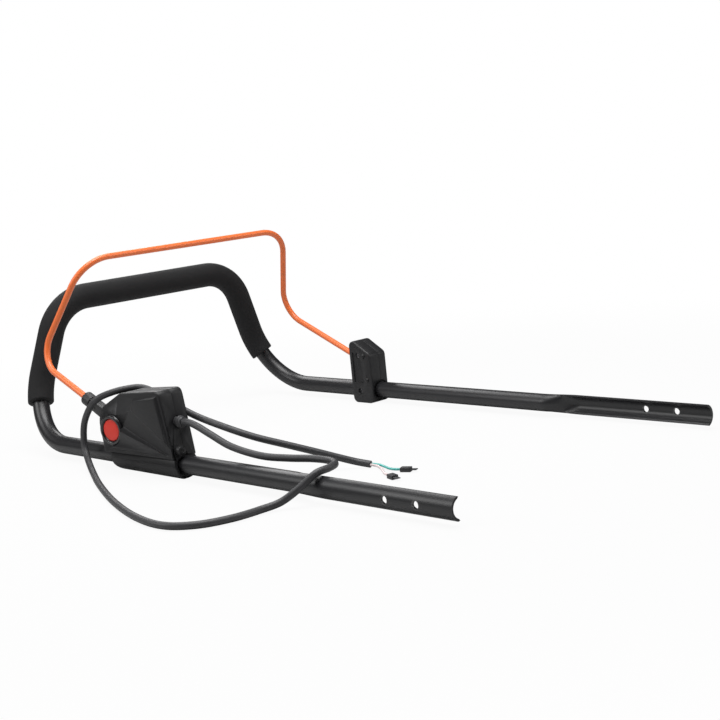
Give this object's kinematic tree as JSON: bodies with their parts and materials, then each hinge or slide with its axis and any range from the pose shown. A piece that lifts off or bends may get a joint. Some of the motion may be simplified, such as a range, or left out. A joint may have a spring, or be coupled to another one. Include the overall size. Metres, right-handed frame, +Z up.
{
  "type": "lawn mower handle",
  "caption": "U-shaped tubular mower handle with foam loop grip, hinged orange bail bar, arm-mounted switch box with push button, pivot housing and free cord",
  "frame": {"origin": "middle of the bounding box without the cord, on the floor plane under the switch box and pivot housing", "axes": "+X along the arms to the mower end, +Y from the switch-box arm to the other arm, +Z up"},
  "size_m": [0.777, 0.5811, 0.2529],
  "materials": {
    "powder_coat": "semi-gloss black powder coat",
    "foam": "matt closed-cell foam",
    "orange_coat": "satin orange coat",
    "lever_plastic": "fine grained moulding",
    "bright_steel": "plated steel",
    "box_plastic": "spark-textured moulding",
    "red_plastic": "smooth red moulding",
    "gloss_black": "polished black ring",
    "switch_plastic": "plain dark moulding",
    "pale_plastic": "plain pale moulding",
    "cord_rubber": "soft dark grey cover",
    "teal_cover": "soft wire cover",
    "pale_cover": "soft wire cover"
  },
  "bodies": {
    "handle": {"handle_tube": "powder_coat", "foam_grip": "foam", "lever_pin": "bright_steel", "housing_pin": "bright_steel", "return_spring": "bright_steel", "switch_box_front": "box_plastic", "switch_box_back": "box_plastic", "button_bezel": "gloss_black", "start_switch": "switch_plastic", "micro_switch": "switch_plastic", "cable_gland": "cord_rubber", "box_screws": "bright_steel", "box_tube_screw": "bright_steel", "housing_inner": "box_plastic", "housing_outer": "box_plastic", "housing_screws": "bright_steel", "power_cord": "cord_rubber", "teal_wire": "teal_cover", "pale_wire": "pale_cover", "teal_terminal": "switch_plastic", "pale_terminal": "switch_plastic"},
    "bail": {"bail_bar": "orange_coat", "bail_lever": "lever_plastic", "bail_eye": "lever_plastic"},
    "button": {"start_button": "red_plastic"},
    "plunger": {"switch_plunger": "pale_plastic"}
  },
  "joints": [
    {"name": "bail_hinge", "type": "hinge", "parent": "handle", "child": "bail", "pos_m": [-0.14749, -0.19979, 0.0507], "axis": [0, -1, 0], "range_deg": [0, 20], "stiffness_Nm_per_rad": 1.2, "springref_deg": -51.57, "deforming": ["return_spring"]},
    {"name": "start_press", "type": "slide", "parent": "handle", "child": "button", "axis": [-0.1736, 0.9848, 0], "range_m": [0, 0.003], "stiffness_N_per_m": 600, "springref_m": -0.002},
    {"name": "plunger_rise", "type": "slide", "parent": "handle", "child": "plunger", "axis": [0, 0, 1], "range_m": [0, 0.0016]}
  ],
  "couplings": [
    {"joint": "plunger_rise", "follows": "bail_hinge", "m_per_rad": 0.004297}
  ]
}
